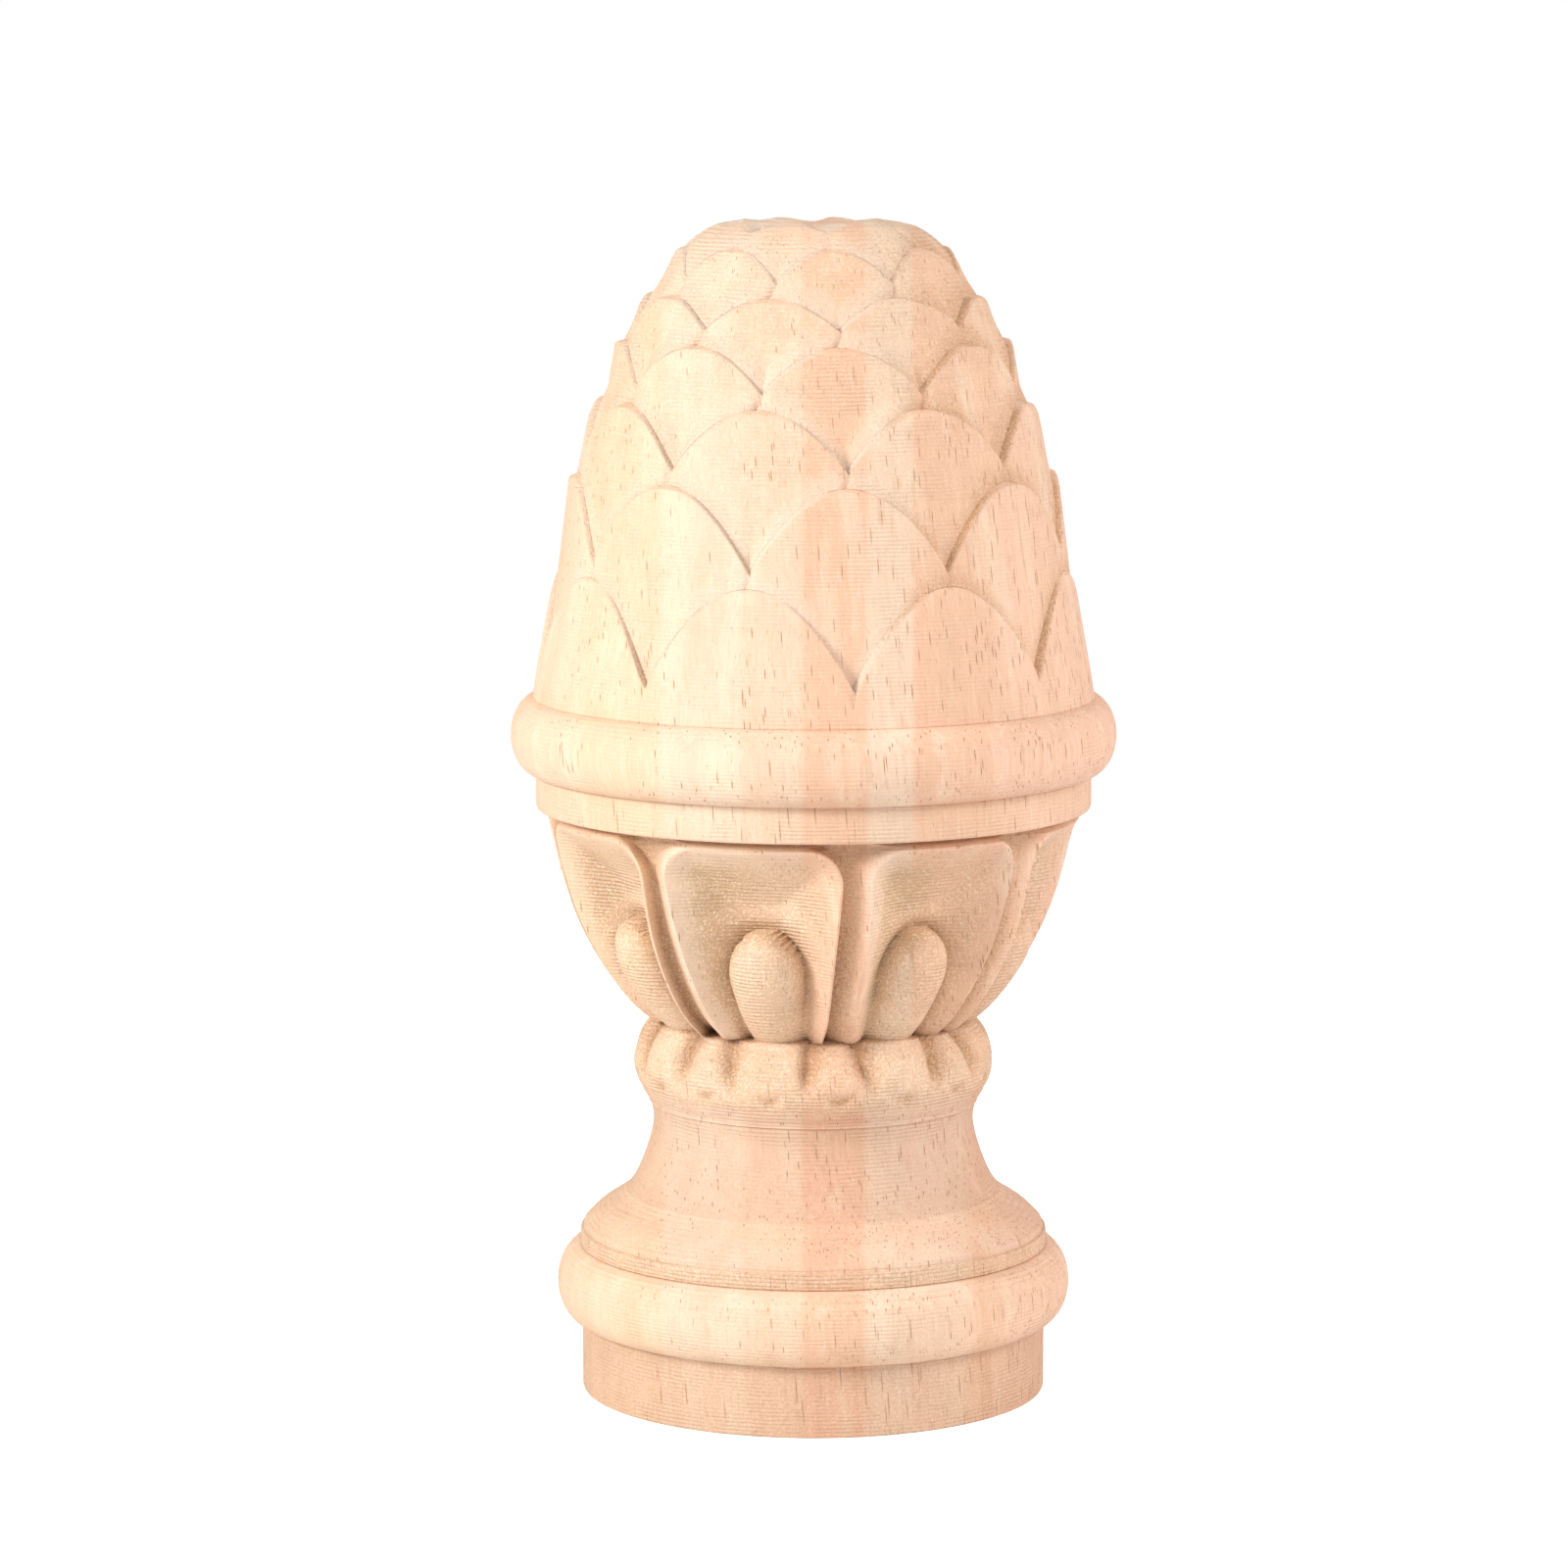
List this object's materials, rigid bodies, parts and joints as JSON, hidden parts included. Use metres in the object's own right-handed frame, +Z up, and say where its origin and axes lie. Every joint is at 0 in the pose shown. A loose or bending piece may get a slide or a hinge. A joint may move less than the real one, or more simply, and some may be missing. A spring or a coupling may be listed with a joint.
{
  "type": "stair finial",
  "caption": "Turned and carved wooden newel finial: a cone of overlapping scales on a ringed bowl of leaves, with a lobed collar, waisted neck and round foot.",
  "frame": {"origin": "centre of the flat round underside, which is the bottom centre of the bounding box", "axes": "+Z up along the turning axis, from the foot to the crown; -Y through the middle of one of the eight carved leaves, which is also the middle of a scale in the lowest row; +X to its right as seen from -Y"},
  "size_m": [0.0772, 0.0772, 0.15],
  "materials": {
    "bare_wood": "pale unfinished edge-glued hardwood, matt, with fine vertical grain and pores"
  },
  "bodies": {
    "root": {"finial": "bare_wood"}
  },
  "joints": []
}
